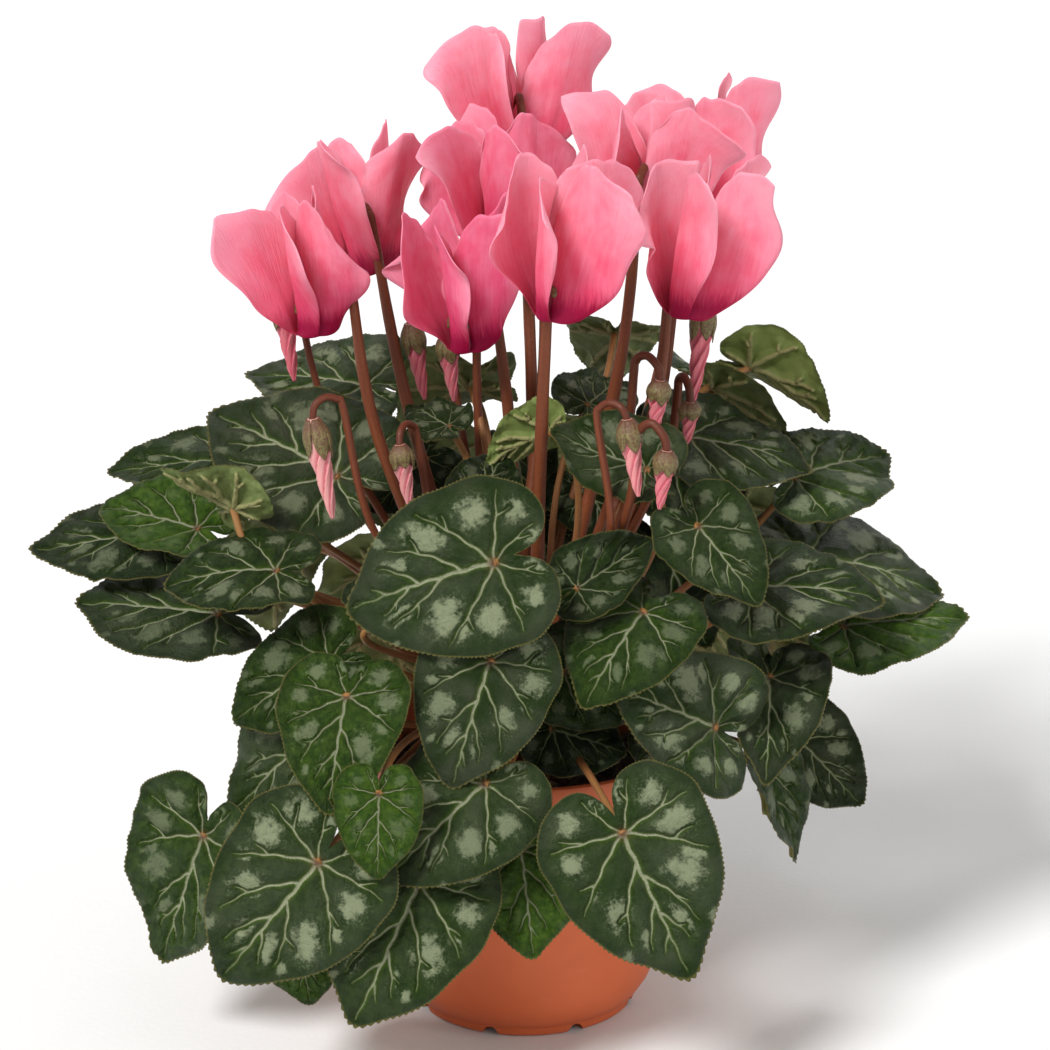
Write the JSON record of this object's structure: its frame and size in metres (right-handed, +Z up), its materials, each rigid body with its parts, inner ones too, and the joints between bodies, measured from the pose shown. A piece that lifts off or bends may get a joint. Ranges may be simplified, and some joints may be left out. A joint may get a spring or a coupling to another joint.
{
  "type": "potted cyclamen",
  "caption": "Florist's cyclamen in a round terracotta-coloured plastic pot: heart-shaped marbled leaves and nodding pink flowers on long stalks.",
  "frame": {"origin": "centre of the pot's flat underside, on the surface it stands on", "axes": "+Z up along the pot's axis, -Y to the plant's front, +X to the right seen from the front"},
  "size_m": [0.3251, 0.242, 0.3327],
  "materials": {
    "pot": "terracotta-coloured moulded plastic, satin",
    "soil": "dark moist peat with fibres",
    "corm": "brown corky skin",
    "stem": "red-brown succulent skin, soft sheen",
    "petal": "salmon-pink petal, velvety, deep rose at the mouth",
    "bud": "furled pink bud with a green-brown calyx",
    "leaf": "dark green with silver marbling and pale veins, waxy",
    "young_leaf": "bright green with pale veins, waxy"
  },
  "bodies": {
    "root": {"pot": "pot", "potting_soil": "soil", "corm": "corm", "flower_stem_01": "stem", "flower_01": "petal", "flower_stem_02": "stem", "flower_02": "petal", "flower_stem_03": "stem", "flower_03": "petal", "flower_stem_04": "stem", "flower_04": "petal", "flower_stem_05": "stem", "flower_05": "petal", "flower_stem_06": "stem", "flower_06": "petal", "flower_stem_07": "stem", "flower_07": "petal", "flower_stem_08": "stem", "flower_08": "petal", "flower_stem_09": "stem", "flower_09": "petal", "bud_01": "bud", "bud_02": "bud", "bud_03": "bud", "bud_04": "bud", "bud_05": "bud", "bud_06": "bud", "leaf_01": "leaf", "leaf_02": "leaf", "leaf_03": "leaf", "leaf_04": "leaf", "leaf_05": "leaf", "leaf_06": "leaf", "leaf_07": "young_leaf", "leaf_08": "leaf", "leaf_09": "leaf", "leaf_10": "leaf", "leaf_11": "leaf", "leaf_12": "leaf", "leaf_13": "leaf", "leaf_14": "leaf", "leaf_15": "young_leaf", "leaf_16": "leaf", "leaf_17": "leaf", "leaf_18": "leaf", "leaf_19": "young_leaf", "leaf_20": "leaf", "leaf_21": "leaf", "leaf_22": "young_leaf", "leaf_23": "leaf", "leaf_24": "leaf", "leaf_25": "leaf", "leaf_26": "leaf", "leaf_27": "leaf", "leaf_28": "leaf", "leaf_29": "leaf", "leaf_30": "leaf", "leaf_31": "leaf", "leaf_32": "leaf", "leaf_33": "leaf"}
  },
  "joints": []
}
